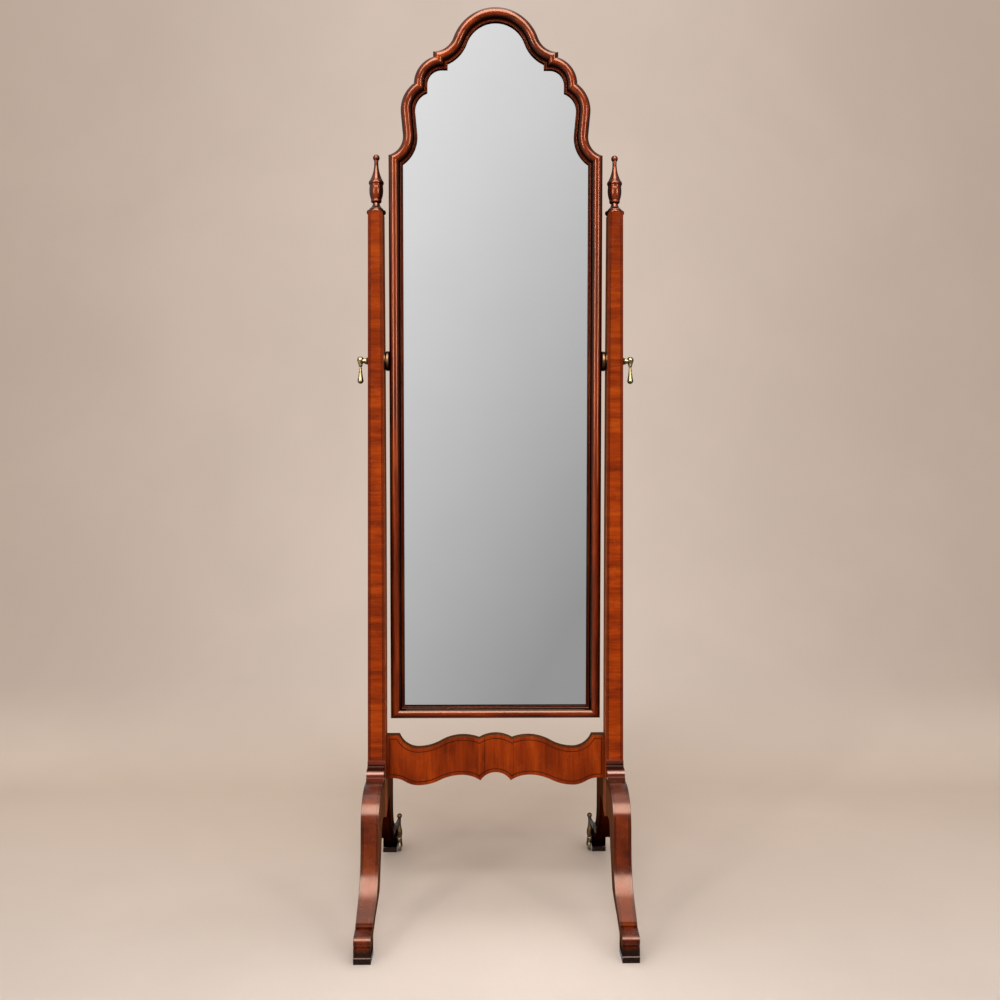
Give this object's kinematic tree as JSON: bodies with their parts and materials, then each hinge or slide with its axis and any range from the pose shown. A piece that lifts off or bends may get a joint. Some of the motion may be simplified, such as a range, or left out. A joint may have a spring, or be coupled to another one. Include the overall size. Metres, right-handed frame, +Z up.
{
  "type": "cheval mirror",
  "caption": "Free-standing cheval mirror: a tall crested frame tilts between two tapering posts on splayed ogee legs joined by a shaped stretcher.",
  "frame": {"origin": "on the floor, at the middle of the footprint", "axes": "+Z up, the glass faces -Y, +X to the right seen from the front"},
  "size_m": [0.5132, 0.515, 1.6489],
  "materials": {
    "post_veneer": "polished figured walnut veneer with dark string lines",
    "leg_veneer": "polished figured walnut veneer with dark string lines",
    "stretcher_veneer": "polished crossbanded walnut veneer",
    "moulding_wood": "polished red-brown walnut moulding",
    "foot_wood": "polished dark walnut",
    "back_wood": "plain planed softwood",
    "turned_wood": "turned and polished walnut",
    "aged_brass": "antique brass with dark hollows",
    "dark_bronze": "dark patinated brass",
    "steel_screws": "dull steel",
    "mirror_glass": "silvered plate glass"
  },
  "bodies": {
    "stand": {"left_post": "post_veneer", "left_finial": "turned_wood", "left_front_leg": "leg_veneer", "left_rear_leg": "leg_veneer", "left_front_cap_moulding": "moulding_wood", "left_rear_cap_moulding": "moulding_wood", "left_front_foot_pad": "foot_wood", "left_rear_foot_pad": "foot_wood", "left_rosette": "aged_brass", "left_post_washer": "aged_brass", "left_castor_bracket": "aged_brass", "right_post": "post_veneer", "right_finial": "turned_wood", "right_front_leg": "leg_veneer", "right_rear_leg": "leg_veneer", "right_front_cap_moulding": "moulding_wood", "right_rear_cap_moulding": "moulding_wood", "right_front_foot_pad": "foot_wood", "right_rear_foot_pad": "foot_wood", "right_rosette": "aged_brass", "right_post_washer": "aged_brass", "right_castor_bracket": "aged_brass", "stretcher": "stretcher_veneer", "leg_dowels": "back_wood", "castor_screws": "aged_brass"},
    "mirror": {"crest_arch": "moulding_wood", "bottom_rail": "moulding_wood", "mirror_glass": "mirror_glass", "backboard": "back_wood", "glazing_blocks": "back_wood", "backboard_screws": "steel_screws", "pivot_plate_screws": "aged_brass", "left_crest_lobe": "moulding_wood", "left_crest_shoulder": "moulding_wood", "left_stile": "moulding_wood", "left_pivot_plate": "aged_brass", "left_pivot_boss": "dark_bronze", "right_crest_lobe": "moulding_wood", "right_crest_shoulder": "moulding_wood", "right_stile": "moulding_wood", "right_pivot_plate": "aged_brass", "right_pivot_boss": "dark_bronze"},
    "left_screw": {"left_thumbscrew": "aged_brass", "left_drop_pin": "aged_brass"},
    "left_drop": {"left_drop_handle": "aged_brass"},
    "left_fork": {"left_castor_fork": "aged_brass", "left_castor_axle": "aged_brass"},
    "left_wheel": {"left_castor_wheel": "aged_brass"},
    "right_screw": {"right_thumbscrew": "aged_brass", "right_drop_pin": "aged_brass"},
    "right_drop": {"right_drop_handle": "aged_brass"},
    "right_fork": {"right_castor_fork": "aged_brass", "right_castor_axle": "aged_brass"},
    "right_wheel": {"right_castor_wheel": "aged_brass"}
  },
  "joints": [
    {"name": "mirror_tilt", "type": "hinge", "parent": "stand", "child": "mirror", "pos_m": [0, -0.0315, 1.0065], "axis": [1, 0, 0], "continuous": true},
    {"name": "left_screw_turn", "type": "hinge", "parent": "stand", "child": "left_screw", "pos_m": [-0.2502, -0.0315, 1.0065], "axis": [-1, 0, 0], "range_deg": [0, 720]},
    {"name": "left_drop_swing", "type": "hinge", "parent": "left_screw", "child": "left_drop", "pos_m": [-0.2502, -0.0315, 0.9993], "axis": [0, 1, 0], "range_deg": [-18, 80]},
    {"name": "left_castor_swivel", "type": "hinge", "parent": "stand", "child": "left_fork", "pos_m": [-0.1989, 0.2085, 0.046], "axis": [0, 0, -1], "range_deg": [-3, 225]},
    {"name": "left_wheel_roll", "type": "hinge", "parent": "left_fork", "child": "left_wheel", "pos_m": [-0.1989, 0.2285, 0.0123], "axis": [1, 0, 0], "continuous": true},
    {"name": "right_screw_turn", "type": "hinge", "parent": "stand", "child": "right_screw", "pos_m": [0.2502, -0.0315, 1.0065], "axis": [1, 0, 0], "range_deg": [0, 720]},
    {"name": "right_drop_swing", "type": "hinge", "parent": "right_screw", "child": "right_drop", "pos_m": [0.2502, -0.0315, 0.9993], "axis": [0, -1, 0], "range_deg": [-18, 80]},
    {"name": "right_castor_swivel", "type": "hinge", "parent": "stand", "child": "right_fork", "pos_m": [0.1989, 0.2085, 0.046], "axis": [0, 0, 1], "range_deg": [-3, 225]},
    {"name": "right_wheel_roll", "type": "hinge", "parent": "right_fork", "child": "right_wheel", "pos_m": [0.1989, 0.2285, 0.0123], "axis": [1, 0, 0], "continuous": true}
  ]
}
